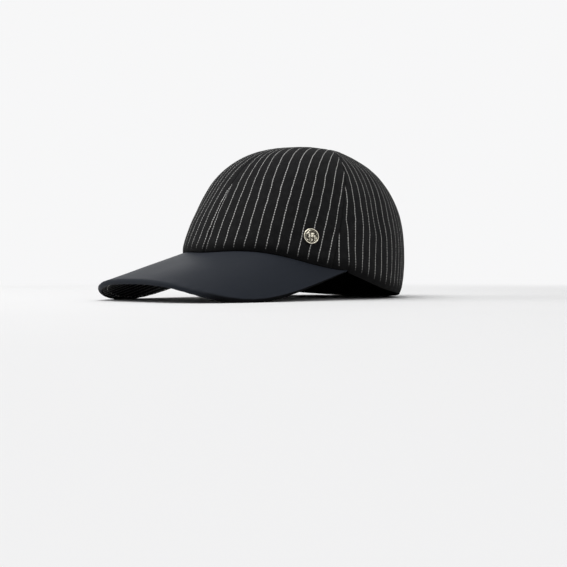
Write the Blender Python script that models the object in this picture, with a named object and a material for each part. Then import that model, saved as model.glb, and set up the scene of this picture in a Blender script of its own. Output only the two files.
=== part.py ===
"""Soft cap of four cloth panels with an arched visor and a round metal stud on the wearer's left.

Metres, +Z up. The face looks along -Y and the wearer's left is +X. The cap is shaped in its own
frame, with the plane z = 0 through the tips of the visor, and an empty then sets it down on the
floor, where it rests on its back rim and on the two front corners of the visor.
"""

import math
from collections import namedtuple

import bmesh
import bpy
from mathutils import Matrix, Vector

# Crown
RIM_HALF_WIDTH = 0.079
RIM_HALF_LENGTH = 0.099
CROWN_HEIGHT = 0.1018
APEX_SETBACK = 0.012
FRONT_LEAN = 0.0093
BACK_SWELL = 0.0087
CLOTH_WALL = 0.0018
HEM_TUCK = 0.0014
HEM_HEIGHT = 0.007
RIM_DROP = 0.0013
BACK_DROP = 0.0088
BACK_DROP_SPAN_DEG = 36.0
DENT_DEPTH = 0.0016
SIDE_SEAM_RIM_DEG = 68.0
SIDE_SEAM_TOP_DEG = 86.0

# Visor
VISOR_SPREAD_DEG = 76.4
VISOR_LENGTH = 0.0655
VISOR_HALF_WIDTH = 0.075
VISOR_OUTLINE_POWER = 3.7
VISOR_SLOPE = 0.4
VISOR_SEAM_RISE = 0.0055
VISOR_ARCH_POWER = 3.4
VISOR_THICKNESS = 0.0038
VISOR_TIP_THICKNESS = 0.0015
VISOR_TAPER = 0.012
VISOR_BORDER = 0.003
UNDERSIDE_WALL = 0.0013
UNDERSIDE_MIN_DEPTH = 0.014

# Stud
STUD_RADIUS = 0.0058
STUD_HEIGHT = 0.003
STUD_ANGLE_DEG = 55.5
STUD_CLIMB_DEG = 7.5

# Fits
SEAM_GAP = 0.0003
SETTLE = 0.0006

# Mesh fineness
CROWN_ROWS = 16
FRONT_COLUMNS = 16
BACK_COLUMNS = 22
VISOR_STATIONS = 51
VISOR_STEPS = 11
ROLL_STEPS = 6
STUD_SIDES = 24
LENGTH_SAMPLES = 32

# How full the crown's profile is and how far it stands back at mid height, by direction.
CrownSection = namedtuple("CrownSection", "fullness setback")
CROWN_FRONT = CrownSection(fullness=2.27, setback=FRONT_LEAN)
CROWN_SIDE = CrownSection(fullness=2.54, setback=0.0)
CROWN_BACK = CrownSection(fullness=2.81, setback=BACK_SWELL)

# Soft hollows of the cloth, alike on both sides. Angles run round from the front and climb runs
# from the rim, 0, to the apex, 90. depth is a share of DENT_DEPTH, and a negative one swells.
Dent = namedtuple("Dent", "angle_deg climb_deg half_width_deg half_climb_deg depth")
DENTS = (
    Dent(angle_deg=97.0, climb_deg=62.0, half_width_deg=13.0, half_climb_deg=9.0, depth=0.75),
    Dent(angle_deg=100.0, climb_deg=76.0, half_width_deg=16.0, half_climb_deg=7.0, depth=-0.6),
    Dent(angle_deg=95.0, climb_deg=40.0, half_width_deg=6.0, half_climb_deg=12.0, depth=0.5),
    Dent(angle_deg=106.0, climb_deg=42.0, half_width_deg=7.0, half_climb_deg=14.0, depth=-0.35),
    Dent(angle_deg=92.0, climb_deg=15.0, half_width_deg=7.0, half_climb_deg=11.0, depth=0.8),
    Dent(angle_deg=108.0, climb_deg=17.0, half_width_deg=9.0, half_climb_deg=13.0, depth=-0.5),
    Dent(angle_deg=28.0, climb_deg=24.0, half_width_deg=14.0, half_climb_deg=10.0, depth=0.6),
    Dent(angle_deg=150.0, climb_deg=33.0, half_width_deg=15.0, half_climb_deg=12.0, depth=0.7),
)

# Turned profile of the stud, as shares of its radius and height, from its flat back to its crown.
StudRing = namedtuple("StudRing", "radius height")
STUD_RINGS = (
    StudRing(radius=0.86, height=0.0),
    StudRing(radius=1.0, height=0.22),
    StudRing(radius=1.0, height=0.5),
    StudRing(radius=0.94, height=0.72),
    StudRing(radius=0.84, height=0.74),
    StudRing(radius=0.78, height=0.6),
    StudRing(radius=0.6, height=0.8),
    StudRing(radius=0.36, height=0.95),
    StudRing(radius=0.12, height=1.0),
)

Finish = namedtuple("Finish", "name color roughness metallic")
PINSTRIPE_CLOTH = Finish("pinstripe_cloth", (0.022, 0.022, 0.023), 0.92, 0.0)
VISOR_CLOTH = Finish("visor_cloth", (0.042, 0.05, 0.064), 0.6, 0.0)
UNDERSIDE_CLOTH = Finish("underside_cloth", (0.016, 0.016, 0.017), 0.92, 0.0)
STUD_METAL = Finish("stud_metal", (0.56, 0.5, 0.36), 0.35, 1.0)


def mix(a, b, share):
    return a + (b - a) * share


def ease(share):
    share = min(max(share, 0.0), 1.0)
    return share * share * (3.0 - 2.0 * share)


def rim_plan(angle, inset):
    """Plan point of the rim ellipse, inset towards the head, at an angle from the front."""
    x = (RIM_HALF_WIDTH - inset) * math.sin(angle)
    y = -(RIM_HALF_LENGTH - inset) * math.cos(angle)
    return x, y


def visor_tip():
    """Plan point at the side of the rim where the visor ends."""
    return rim_plan(math.radians(VISOR_SPREAD_DEG), HEM_TUCK)


def visor_height(x, y):
    """Height of the visor's upper surface, which is 0 at its two ends."""
    tip_x, tip_y = visor_tip()
    seam_y = -(RIM_HALF_LENGTH - HEM_TUCK)
    arch = VISOR_SEAM_RISE + VISOR_SLOPE * (tip_y - seam_y)
    return VISOR_SEAM_RISE + VISOR_SLOPE * (y - seam_y) - arch * (abs(x) / tip_x) ** VISOR_ARCH_POWER


def drop_turn():
    """Angle over which the rim steps down from the visor's end to its own level."""
    return 1.2 * RIM_DROP / RIM_HALF_LENGTH


def rim_height(angle):
    """Height of the crown's lower edge: on the visor in front, and falling behind it to the back."""
    spread = math.radians(VISOR_SPREAD_DEG)
    drop_start = spread + SEAM_GAP / RIM_HALF_LENGTH
    if abs(angle) < drop_start:
        seat_angle = min(abs(angle), spread)
        return visor_height(*rim_plan(seat_angle, HEM_TUCK)) + SEAM_GAP
    fallen = min((abs(angle) - drop_start) / math.radians(BACK_DROP_SPAN_DEG), 1.0)
    fall = BACK_DROP * math.sin(0.5 * math.pi * fallen)
    return mix(SEAM_GAP, -RIM_DROP, ease((abs(angle) - drop_start) / drop_turn())) - fall


def dent_depth(angle, climb):
    depth = 0.0
    for dent in DENTS:
        across = (abs(math.degrees(angle)) - dent.angle_deg) / dent.half_width_deg
        along = (math.degrees(climb) - dent.climb_deg) / dent.half_climb_deg
        depth += dent.depth * DENT_DEPTH * math.exp(-across * across - along * along)
    return depth


def crown_point(angle, climb, inset, plan_share=None):
    """Point of the crown, outside with inset 0 and inside with inset equal to the wall.

    climb runs from 0 at the rim to a quarter turn at the apex. plan_share, where given, is the
    share of the rim's plan that is left, and takes the place of climb close to the apex.
    """
    front = max(math.cos(angle), 0.0) ** 2
    back = max(-math.cos(angle), 0.0) ** 2
    fullness = (CROWN_SIDE.fullness + (CROWN_FRONT.fullness - CROWN_SIDE.fullness) * front
                + (CROWN_BACK.fullness - CROWN_SIDE.fullness) * back)
    setback = CROWN_FRONT.setback * front + CROWN_BACK.setback * back
    if plan_share is None:
        plan_share = math.cos(climb) ** (2.0 / fullness)
    rise = (1.0 - plan_share ** fullness) ** (1.0 / fullness)
    base = rim_height(angle)
    height = (CROWN_HEIGHT - inset - base) * rise
    tuck = HEM_TUCK * max(0.0, 1.0 - height / HEM_HEIGHT) ** 2
    rim_x, rim_y = rim_plan(angle, inset + tuck)
    point = Vector((rim_x * plan_share, mix(APEX_SETBACK, rim_y, plan_share), base + height))
    point.y += setback * math.sin(math.pi * rise)
    heart = Vector((0.0, APEX_SETBACK, 0.4 * CROWN_HEIGHT))
    return point + (heart - point).normalized() * dent_depth(angle, climb)


def side_seam(climb):
    """Angle of the side seam, which leans back as it climbs."""
    return math.radians(mix(SIDE_SEAM_RIM_DEG, SIDE_SEAM_TOP_DEG, climb / (math.pi / 2)))


def front_seam(climb):
    return 0.0


def back_seam(climb):
    return math.pi


def row_climbs():
    """Climbs of the panels' rows: two in the tucked hem, then evenly up to the apex."""
    power = 0.5 * CROWN_SIDE.fullness
    climbs = [math.asin((share * HEM_HEIGHT / CROWN_HEIGHT) ** power) for share in (0.0, 0.45, 1.0)]
    rest = CROWN_ROWS - len(climbs) + 1
    return climbs + [mix(climbs[-1], math.pi / 2, row / rest) for row in range(1, rest)]


def spaced_shares(knots, count):
    """Shares from 0 to 1, evenly spaced between the knots, about count steps in all."""
    shares = [0.0]
    for start, end in zip(knots[:-1], knots[1:]):
        steps = max(1, round(count * (end - start)))
        shares += [mix(start, end, step / steps) for step in range(1, steps + 1)]
    return shares


def panel_grid(seam_a, seam_b, shares, side, inset):
    """Rows of points of one crown panel, from the rim to the apex, clear of both seams."""
    rows = []
    for climb in row_climbs():
        start = seam_a(climb)
        end = seam_b(climb)
        step = 0.01
        stride = (crown_point(start + step, climb, inset) - crown_point(start, climb, inset)).length / step
        margin = 0.5 * SEAM_GAP / stride
        rows.append([crown_point(side * mix(start + margin, end - margin, share), climb, inset)
                     for share in shares])
    # the last row is the single corner beside the apex, half a gap clear of both seams
    climb = math.pi / 2
    middle = side * 0.5 * (seam_a(climb) + seam_b(climb))
    corner = crown_point(middle, climb, inset, plan_share=SEAM_GAP / (math.sqrt(2.0) * RIM_HALF_WIDTH))
    rows.append([corner.copy() for _ in shares])
    return rows


def visor_section_plan(station):
    """Plan points where one section across the visor starts, under the crown, and ends."""
    spread = math.radians(VISOR_SPREAD_DEG)
    tip_x, tip_y = visor_tip()
    seam_y = -(RIM_HALF_LENGTH - HEM_TUCK)
    turn = 0.5 * math.pi * station
    power = 2.0 / VISOR_OUTLINE_POWER
    across = math.copysign(abs(math.sin(turn)) ** power, station)
    reach = tip_y - seam_y + VISOR_LENGTH
    closing = abs(station) ** 6
    edge_x = VISOR_HALF_WIDTH * across * (1.0 - closing)
    edge_x += math.copysign(mix(VISOR_HALF_WIDTH, tip_x, closing) * closing, station)
    edge_y = tip_y - reach * max(math.cos(turn), 0.0) ** power
    return Vector((*rim_plan(spread * station, HEM_TUCK), 0.0)), Vector((edge_x, edge_y, 0.0))


class VisorSection:
    """One section across the visor, measured along its upper surface from the crown outwards."""

    def __init__(self, station):
        self.station = station
        start, end = visor_section_plan(station)
        plan = [start.lerp(end, sample / LENGTH_SAMPLES) for sample in range(LENGTH_SAMPLES + 1)]
        self.line = [Vector((p.x, p.y, visor_height(p.x, p.y))) for p in plan]
        self.distances = [0.0]
        for a, b in zip(self.line[:-1], self.line[1:]):
            self.distances.append(self.distances[-1] + (b - a).length)
        self.depth = self.distances[-1]
        grown = 1.0 - math.exp(-self.depth / VISOR_TAPER)
        self.thickness = mix(VISOR_TIP_THICKNESS, VISOR_THICKNESS, grown)
        self.roll = min(0.5 * self.thickness, 0.45 * self.depth)
        self.border = min(VISOR_BORDER, 0.5 * self.depth)

    def surface(self, distance):
        """Point of the upper surface and its outward direction, at a distance from the crown."""
        distance = min(max(distance, 0.0), self.depth)
        index = 0
        while index < LENGTH_SAMPLES - 1 and self.distances[index + 1] < distance:
            index += 1
        a = self.line[index]
        b = self.line[index + 1]
        length = self.distances[index + 1] - self.distances[index]
        return a.lerp(b, (distance - self.distances[index]) / length), (b - a).normalized()

    def up(self, point):
        """Upward normal of the visor at a point."""
        step = 0.0005
        slope_x = (visor_height(point.x + step, point.y) - visor_height(point.x - step, point.y)) / (2 * step)
        slope_y = (visor_height(point.x, point.y + step) - visor_height(point.x, point.y - step)) / (2 * step)
        return Vector((-slope_x, -slope_y, 1.0)).normalized()

    def below(self, distance, depth):
        """Point under the upper surface, at a distance from the crown and a depth."""
        point, _ = self.surface(distance)
        return point - self.up(point) * depth

    def lip(self, depth):
        """Point of the lip that runs level under the crown's wall."""
        inner = rim_plan(math.radians(VISOR_SPREAD_DEG) * self.station, HEM_TUCK + CLOTH_WALL)
        return Vector((*inner, self.line[0].z - depth * self.up(self.line[0]).z))

    def edge(self, turn):
        """Point of the rolled outer edge, from its top at 0 to its bottom at half a turn."""
        point, outward = self.surface(self.depth - self.roll)
        up = self.up(point)
        centre = point - up * (0.5 * self.thickness)
        return centre + outward * (self.roll * math.sin(turn)) + up * (0.5 * self.thickness * math.cos(turn))


def visor_stations():
    """Positions across the visor from -1 to 1, closer together towards its two ends."""
    stations = []
    for index in range(VISOR_STATIONS):
        place = mix(-0.99, 0.99, index / (VISOR_STATIONS - 1))
        stations.append(math.copysign(1.0 - (1.0 - abs(place)) ** 1.6, place))
    return [VisorSection(station) for station in stations]


def has_underside(section):
    return section.depth > UNDERSIDE_MIN_DEPTH


def visor_top_loop(section):
    """Closed outline of the visor's cover: a board with a rolled edge and a recess beneath."""
    recess = UNDERSIDE_WALL + SEAM_GAP if has_underside(section) else 0.0
    inner_depth = section.thickness - recess
    loop = [section.lip(0.0)]
    for step in range(VISOR_STEPS + 1):
        loop.append(section.below((section.depth - section.roll) * step / VISOR_STEPS, 0.0))
    for step in range(1, ROLL_STEPS + 1):
        loop.append(section.edge(math.pi * step / ROLL_STEPS))
    recess_end = section.depth - max(section.border, section.roll * 1.2)
    loop.append(section.below(recess_end, section.thickness))
    for step in range(VISOR_STEPS, -1, -1):
        share = step / VISOR_STEPS
        loop.append(section.below(recess_end * share, inner_depth))
    loop.append(section.lip(inner_depth))
    return loop


def underside_loop(section):
    """Closed outline of the thin cloth under the visor, nested inside the rolled edge."""
    end = section.depth - section.border - SEAM_GAP
    shares = [step / VISOR_STEPS for step in range(VISOR_STEPS + 1)]
    upper = [section.below(end * share, section.thickness - UNDERSIDE_WALL) for share in shares]
    lower = [section.below(end * share, section.thickness) for share in reversed(shares)]
    return upper + lower


def add_body(name, bm, finish, sharp_deg):
    """Object from a closed bmesh, its faces turned outwards, with its own material."""
    bmesh.ops.remove_doubles(bm, verts=bm.verts, dist=0.000001)
    bmesh.ops.recalc_face_normals(bm, faces=bm.faces)
    mesh = bpy.data.meshes.new(name)
    bm.to_mesh(mesh)
    bm.free()
    mesh.shade_smooth()
    mesh.set_sharp_from_angle(angle=math.radians(sharp_deg))
    material = bpy.data.materials.new(finish.name)
    material.use_nodes = True
    shader = material.node_tree.nodes["Principled BSDF"]
    shader.inputs["Base Color"].default_value = (*finish.color, 1.0)
    shader.inputs["Roughness"].default_value = finish.roughness
    shader.inputs["Metallic"].default_value = finish.metallic
    mesh.materials.append(material)
    body = bpy.data.objects.new(name, mesh)
    bpy.context.scene.collection.objects.link(body)
    return body


def add_shell(name, outer, inner, finish):
    """Closed wall between two grids of points that have the same rows and columns."""
    bm = bmesh.new()
    grids = [[[bm.verts.new(point) for point in row] for row in grid] for grid in (outer, inner)]
    last_row = len(outer) - 1
    last_column = len(outer[0]) - 1
    for grid in grids:
        for row in range(last_row):
            for column in range(last_column):
                bm.faces.new((grid[row][column], grid[row][column + 1],
                              grid[row + 1][column + 1], grid[row + 1][column]))
    border = [(0, column) for column in range(last_column)]
    border += [(row, last_column) for row in range(last_row)]
    border += [(last_row, column) for column in range(last_column, 0, -1)]
    border += [(row, 0) for row in range(last_row, 0, -1)]
    for here, after in zip(border, border[1:] + border[:1]):
        bm.faces.new((grids[0][here[0]][here[1]], grids[0][after[0]][after[1]],
                      grids[1][after[0]][after[1]], grids[1][here[0]][here[1]]))
    return add_body(name, bm, finish, sharp_deg=40.0)


def add_loft(name, loops, finish, sharp_deg):
    """Closed body through a row of closed outlines, its two ends filled."""
    bm = bmesh.new()
    rings = [[bm.verts.new(point) for point in loop] for loop in loops]
    count = len(rings[0])
    for ring, after in zip(rings[:-1], rings[1:]):
        for index in range(count):
            following = (index + 1) % count
            bm.faces.new((ring[index], ring[following], after[following], after[index]))
    bm.faces.new(rings[0])
    bm.faces.new(rings[-1])
    return add_body(name, bm, finish, sharp_deg)


def add_panels():
    """The four crown panels, two in front of the side seams and two behind them."""
    seam = math.radians(SIDE_SEAM_RIM_DEG)
    spread = math.radians(VISOR_SPREAD_DEG)
    drop_start = spread + SEAM_GAP / RIM_HALF_LENGTH
    knots = [seam, drop_start, drop_start + 0.5 * drop_turn(), drop_start + drop_turn(), math.pi]
    back_knots = [(knot - seam) / (math.pi - seam) for knot in knots if knot >= seam]
    front_shares = spaced_shares([0.0, 1.0], FRONT_COLUMNS)
    back_shares = spaced_shares(back_knots, BACK_COLUMNS)
    panels = []
    for side, hand in ((1, "left"), (-1, "right")):
        for place, seam_a, seam_b, shares in (("front", front_seam, side_seam, front_shares),
                                              ("back", side_seam, back_seam, back_shares)):
            outer = panel_grid(seam_a, seam_b, shares, side, 0.0)
            inner = panel_grid(seam_a, seam_b, shares, side, CLOTH_WALL)
            panels.append(add_shell(f"{place}_{hand}_panel", outer, inner, PINSTRIPE_CLOTH))
    return panels


def add_visor():
    """The visor's cover with its rolled edge, and the cloth on its underside."""
    sections = visor_stations()
    cover = add_loft("visor_top", [visor_top_loop(s) for s in sections], VISOR_CLOTH, sharp_deg=50.0)
    lined = [underside_loop(s) for s in sections if has_underside(s)]
    underside = add_loft("visor_underside", lined, UNDERSIDE_CLOTH, sharp_deg=40.0)
    return [cover, underside]


def add_stud():
    """The round stud, its flat back a seam's gap off the front left panel."""
    bm = bmesh.new()
    rings = []
    for ring in STUD_RINGS:
        circle = bmesh.ops.create_circle(bm, segments=STUD_SIDES, radius=ring.radius * STUD_RADIUS)["verts"]
        bmesh.ops.translate(bm, verts=circle, vec=(0.0, 0.0, ring.height * STUD_HEIGHT))
        rings.append(circle)
    for ring, after in zip(rings[:-1], rings[1:]):
        for index in range(STUD_SIDES):
            following = (index + 1) % STUD_SIDES
            bm.faces.new((ring[index], ring[following], after[following], after[index]))
    bm.faces.new(rings[0])
    bm.faces.new(rings[-1])
    stud = add_body("side_stud", bm, STUD_METAL, sharp_deg=50.0)

    angle = math.radians(STUD_ANGLE_DEG)
    climb = math.radians(STUD_CLIMB_DEG)
    step = 0.01
    seat = crown_point(angle, climb, 0.0)
    round_way = crown_point(angle + step, climb, 0.0) - crown_point(angle - step, climb, 0.0)
    up_way = crown_point(angle, climb + step, 0.0) - crown_point(angle, climb - step, 0.0)
    outward = round_way.cross(up_way).normalized()
    upright = (up_way - outward * up_way.dot(outward)).normalized()
    across = upright.cross(outward)
    turn = Matrix((across, upright, outward)).transposed()
    stud.rotation_euler = turn.to_euler()
    stud.location = seat + outward * SEAM_GAP
    return stud


def world_points(bodies):
    return [body.matrix_world @ vertex.co for body in bodies for vertex in body.data.vertices]


def resting_tilt(front_points, back_points):
    """Angle that the front is raised by when visor and back rim touch the floor together."""
    low = 0.0
    high = math.radians(45.0)
    for _ in range(40):
        tilt = 0.5 * (low + high)
        front = min(p.z * math.cos(tilt) - p.y * math.sin(tilt) for p in front_points)
        back = min(p.z * math.cos(tilt) - p.y * math.sin(tilt) for p in back_points)
        if front < back:
            low = tilt
        else:
            high = tilt
    return 0.5 * (low + high)


def flatten_on_floor(body):
    """Level off what would sink into the floor, as cloth does under the cap's own weight."""
    bm = bmesh.new()
    bm.from_mesh(body.data)
    to_body = body.matrix_world.inverted()
    floor = to_body @ Vector((0.0, 0.0, 0.0))
    up = (to_body.to_3x3() @ Vector((0.0, 0.0, 1.0))).normalized()
    cut = bmesh.ops.bisect_plane(bm, geom=list(bm.verts) + list(bm.edges) + list(bm.faces), dist=0.0,
                                 plane_co=floor, plane_no=up, clear_inner=True)
    cut_edges = [item for item in cut["geom_cut"] if isinstance(item, bmesh.types.BMEdge)]
    if cut_edges:
        open_edges = [edge for edge in cut_edges if edge.is_boundary]
        bmesh.ops.holes_fill(bm, edges=open_edges, sides=0)
        bmesh.ops.recalc_face_normals(bm, faces=bm.faces)
    bm.to_mesh(body.data)
    bm.free()


def set_down(panels, visor, stud):
    """Parent the pieces to an empty that rests the cap on the floor, centred on its box."""
    bpy.context.view_layer.update()
    tilt = resting_tilt(world_points(visor), world_points(panels))
    rest = bpy.data.objects.new("cap_rest", None)
    rest.rotation_euler = (-tilt, 0.0, 0.0)
    bpy.context.scene.collection.objects.link(rest)
    bodies = panels + visor + [stud]
    for body in bodies:
        body.parent = rest
    bpy.context.view_layer.update()
    points = world_points(bodies)
    middle_y = 0.5 * (min(p.y for p in points) + max(p.y for p in points))
    rest.location = (0.0, -middle_y, -min(p.z for p in points) - SETTLE)
    bpy.context.view_layer.update()
    for body in panels + visor:
        flatten_on_floor(body)


def main():
    for item in list(bpy.data.objects):
        bpy.data.objects.remove(item, do_unlink=True)
    panels = add_panels()
    visor = add_visor()
    stud = add_stud()
    set_down(panels, visor, stud)


main()
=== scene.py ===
"""Soft cap: four pinstripe cloth panels, an arched slate visor and a round metal stud.

Metres, +Z up. The face looks along -Y and the wearer's left is +X. Surfaces are worked out in the
cap's own frame and then set down on the floor, where the cap rests on its back rim and on the two
front corners of its visor.
"""

from __future__ import annotations

import logging
import math
from dataclasses import dataclass, field
from enum import Enum
from typing import Callable, Union

import bmesh
import bpy
import numpy as np
from mathutils import Matrix, Vector, noise


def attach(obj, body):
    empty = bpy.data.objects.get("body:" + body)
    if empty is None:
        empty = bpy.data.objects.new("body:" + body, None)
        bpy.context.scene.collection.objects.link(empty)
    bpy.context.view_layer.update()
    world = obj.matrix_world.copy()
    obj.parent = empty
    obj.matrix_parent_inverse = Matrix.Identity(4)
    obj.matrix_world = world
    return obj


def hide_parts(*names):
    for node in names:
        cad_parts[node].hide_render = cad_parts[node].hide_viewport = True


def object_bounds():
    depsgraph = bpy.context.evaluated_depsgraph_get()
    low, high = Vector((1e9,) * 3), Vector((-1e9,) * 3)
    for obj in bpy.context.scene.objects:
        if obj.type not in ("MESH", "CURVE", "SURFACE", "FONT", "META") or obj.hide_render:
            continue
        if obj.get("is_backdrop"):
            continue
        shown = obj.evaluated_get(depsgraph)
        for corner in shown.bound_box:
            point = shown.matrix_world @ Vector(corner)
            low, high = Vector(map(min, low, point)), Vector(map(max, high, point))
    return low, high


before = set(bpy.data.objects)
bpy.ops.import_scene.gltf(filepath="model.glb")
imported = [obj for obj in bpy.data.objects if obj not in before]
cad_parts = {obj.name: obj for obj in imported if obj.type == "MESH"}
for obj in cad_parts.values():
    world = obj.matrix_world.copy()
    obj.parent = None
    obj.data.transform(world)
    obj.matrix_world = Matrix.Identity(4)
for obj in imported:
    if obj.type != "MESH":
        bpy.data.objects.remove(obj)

LOG = logging.getLogger("cap")
MM = 0.001
QUARTER = math.pi / 2
TURN = 2.0 * math.pi


class Hand(Enum):
    """Side of the cap, by the sign of X."""

    LEFT = 1
    RIGHT = -1


class PanelPlace(Enum):
    """Which of the crown's panels on one side."""

    FRONT = "front"
    BACK = "back"


Number = Union[float, np.ndarray]


def mix(a: Number, b: Number, share: Number) -> Number:
    """Value a share of the way from a to b."""
    return a + (b - a) * share


def ease(share: Number) -> Number:
    """Smooth step of a share, flat below 0 and above 1."""
    held = np.clip(share, 0.0, 1.0)
    return held * held * (3.0 - 2.0 * held)


def unit(vectors: np.ndarray) -> np.ndarray:
    """Vectors along the last axis, each of length 1."""
    return vectors / np.maximum(np.linalg.norm(vectors, axis=-1, keepdims=True), 1e-12)


def waves(points: np.ndarray, size: float, seed: float) -> np.ndarray:
    """Smooth noise over points.

    Args:
        points: Array of points, its last axis of length 3, in metres.
        size: Size of one wave, in metres.
        seed: Shift into another part of the noise.

    Returns:
        Values from about -1 to 1, in the shape of points without its last axis.
    """
    flat = points.reshape(-1, 3) / size + seed
    values = [noise.noise(Vector(row)) for row in flat.tolist()]
    return np.array(values).reshape(points.shape[:-1])


@dataclass(frozen=True)
class CrownSection:
    """How full the crown's profile is in one direction, and how far it stands back."""

    fullness: float
    setback: float


@dataclass(frozen=True)
class SoftSpot:
    """Rounded spot of the crown, alike on both sides: its middle and half sizes, in degrees."""

    angle: float
    climb: float
    half_width: float
    half_climb: float

    def reach(self, angle: np.ndarray, climb: np.ndarray) -> np.ndarray:
        """Share of the spot that is felt at an angle and a climb."""
        across = (np.abs(np.degrees(angle)) - self.angle) / self.half_width
        along = (np.degrees(climb) - self.climb) / self.half_climb
        return np.exp(-across * across - along * along)


@dataclass(frozen=True)
class Hollow(SoftSpot):
    """Soft hollow of the crown, in metres, or a swelling where depth is negative."""

    depth: float


@dataclass(frozen=True)
class Fold(SoftSpot):
    """Soft fold of the cloth: metres outwards, and the shift of its stripes, in stripes."""

    height: float
    shift: float


@dataclass(frozen=True)
class CapShape:
    """Sizes of the cap and the smooth surfaces that follow from them, in metres and degrees."""

    rim_half_width: float = 0.079
    rim_half_length: float = 0.099
    crown_height: float = 0.1018
    apex_setback: float = 0.012
    cloth_wall: float = 0.0018
    hem_tuck: float = 0.0014
    hem_height: float = 0.007
    rim_drop: float = 0.0013
    back_drop: float = 0.0088
    back_drop_span: float = 36.0
    seam_at_rim: float = 68.0
    seam_at_top: float = 86.0
    seam_gap: float = 0.0003
    visor_spread: float = 76.4
    visor_length: float = 0.0655
    visor_half_width: float = 0.075
    visor_outline: float = 3.7
    visor_slope: float = 0.4
    visor_rise: float = 0.0055
    visor_arch: float = 3.4
    rest_tilt: float = 5.830565
    rest_forward: float = 0.028073
    rest_lift: float = 0.019363
    front: CrownSection = CrownSection(2.27, 0.0093)
    side: CrownSection = CrownSection(2.54, 0.0)
    back: CrownSection = CrownSection(2.81, 0.0087)
    hollows: tuple[Hollow, ...] = (
        Hollow(angle=97.0, climb=62.0, half_width=13.0, half_climb=9.0, depth=0.0012),
        Hollow(angle=100.0, climb=76.0, half_width=16.0, half_climb=7.0, depth=-0.00096),
        Hollow(angle=95.0, climb=40.0, half_width=6.0, half_climb=12.0, depth=0.0008),
        Hollow(angle=106.0, climb=42.0, half_width=7.0, half_climb=14.0, depth=-0.00056),
        Hollow(angle=92.0, climb=15.0, half_width=7.0, half_climb=11.0, depth=0.00128),
        Hollow(angle=108.0, climb=17.0, half_width=9.0, half_climb=13.0, depth=-0.0008),
        Hollow(angle=28.0, climb=24.0, half_width=14.0, half_climb=10.0, depth=0.00096),
        Hollow(angle=150.0, climb=33.0, half_width=15.0, half_climb=12.0, depth=0.00112),
    )

    def rim_plan(self, angle: Number, inset: Number) -> tuple[Number, Number]:
        """Plan point of the rim ellipse, inset towards the head, at an angle from the front."""
        x = (self.rim_half_width - inset) * np.sin(angle)
        y = -(self.rim_half_length - inset) * np.cos(angle)
        return x, y

    def visor_tip(self) -> tuple[float, float]:
        """Plan point at the side of the rim where the visor ends."""
        x, y = self.rim_plan(math.radians(self.visor_spread), self.hem_tuck)
        return float(x), float(y)

    def visor_height(self, x: Number, y: Number) -> Number:
        """Height of the visor's upper surface over a plan point."""
        tip_x, tip_y = self.visor_tip()
        seam_y = -(self.rim_half_length - self.hem_tuck)
        arch = self.visor_rise + self.visor_slope * (tip_y - seam_y)
        fall = arch * (np.abs(x) / tip_x) ** self.visor_arch
        return self.visor_rise + self.visor_slope * (y - seam_y) - fall

    def visor_up(self, x: Number, y: Number) -> np.ndarray:
        """Upward normals of the visor over plan points."""
        step = 0.0002
        slope_x = (self.visor_height(x + step, y) - self.visor_height(x - step, y)) / (2 * step)
        slope_y = np.full_like(slope_x, self.visor_slope)
        return unit(np.stack([-slope_x, -slope_y, np.ones_like(slope_x)], axis=-1))

    def rim_height(self, angle: np.ndarray) -> np.ndarray:
        """Height of the crown's lower edge: on the visor in front, and falling behind it to the back."""
        spread = math.radians(self.visor_spread)
        start = spread + self.seam_gap / self.rim_half_length
        turn = 1.2 * self.rim_drop / self.rim_half_length
        seat = self.visor_height(*self.rim_plan(np.minimum(np.abs(angle), spread), self.hem_tuck))
        fallen = np.clip((np.abs(angle) - start) / math.radians(self.back_drop_span), 0.0, 1.0)
        behind = (mix(self.seam_gap, -self.rim_drop, ease((np.abs(angle) - start) / turn))
                  - self.back_drop * np.sin(QUARTER * fallen))
        return np.where(np.abs(angle) < start, seat + self.seam_gap, behind)

    def hollow_depth(self, angle: np.ndarray, climb: np.ndarray) -> np.ndarray:
        """Depth of the soft hollows, alike on both sides."""
        depth = np.zeros(np.broadcast(angle, climb).shape)
        for hollow in self.hollows:
            depth += hollow.depth * hollow.reach(angle, climb)
        return depth

    def fullness(self, angle: np.ndarray) -> np.ndarray:
        """Power of the crown's profile at an angle from the front."""
        ahead = np.maximum(np.cos(angle), 0.0) ** 2
        behind = np.maximum(-np.cos(angle), 0.0) ** 2
        return (self.side.fullness + (self.front.fullness - self.side.fullness) * ahead
                + (self.back.fullness - self.side.fullness) * behind)

    def climb_of(self, angle: np.ndarray, height: float) -> np.ndarray:
        """Climb at which the crown is that much higher than its lower edge."""
        rise = height / (self.crown_height - self.rim_height(angle))
        return np.arcsin(rise ** (0.5 * self.fullness(angle)))

    def crown(self, angle: np.ndarray, climb: np.ndarray, inset: Number) -> np.ndarray:
        """Points of the crown.

        Args:
            angle: Angles from the front, in radians.
            climb: Climbs from the rim, 0, to the apex, a quarter turn.
            inset: Depth under the outside, in metres.

        Returns:
            Array of points, in the cap's own frame.
        """
        fullness = self.fullness(angle)
        setback = (self.front.setback * np.maximum(np.cos(angle), 0.0) ** 2
                   + self.back.setback * np.maximum(-np.cos(angle), 0.0) ** 2)
        plan = np.maximum(np.cos(climb), 0.0) ** (2.0 / fullness)
        rise = np.sin(climb) ** (2.0 / fullness)
        base = self.rim_height(angle)
        height = (self.crown_height - inset - base) * rise
        tuck = self.hem_tuck * np.maximum(0.0, 1.0 - height / self.hem_height) ** 2
        rim_x, rim_y = self.rim_plan(angle, inset + tuck)
        y = mix(self.apex_setback, rim_y, plan) + setback * np.sin(math.pi * rise)
        points = np.stack(np.broadcast_arrays(rim_x * plan, y, base + height), axis=-1)
        heart = np.array([0.0, self.apex_setback, 0.4 * self.crown_height])
        return points + unit(heart - points) * self.hollow_depth(angle, climb)[..., None]

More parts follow.
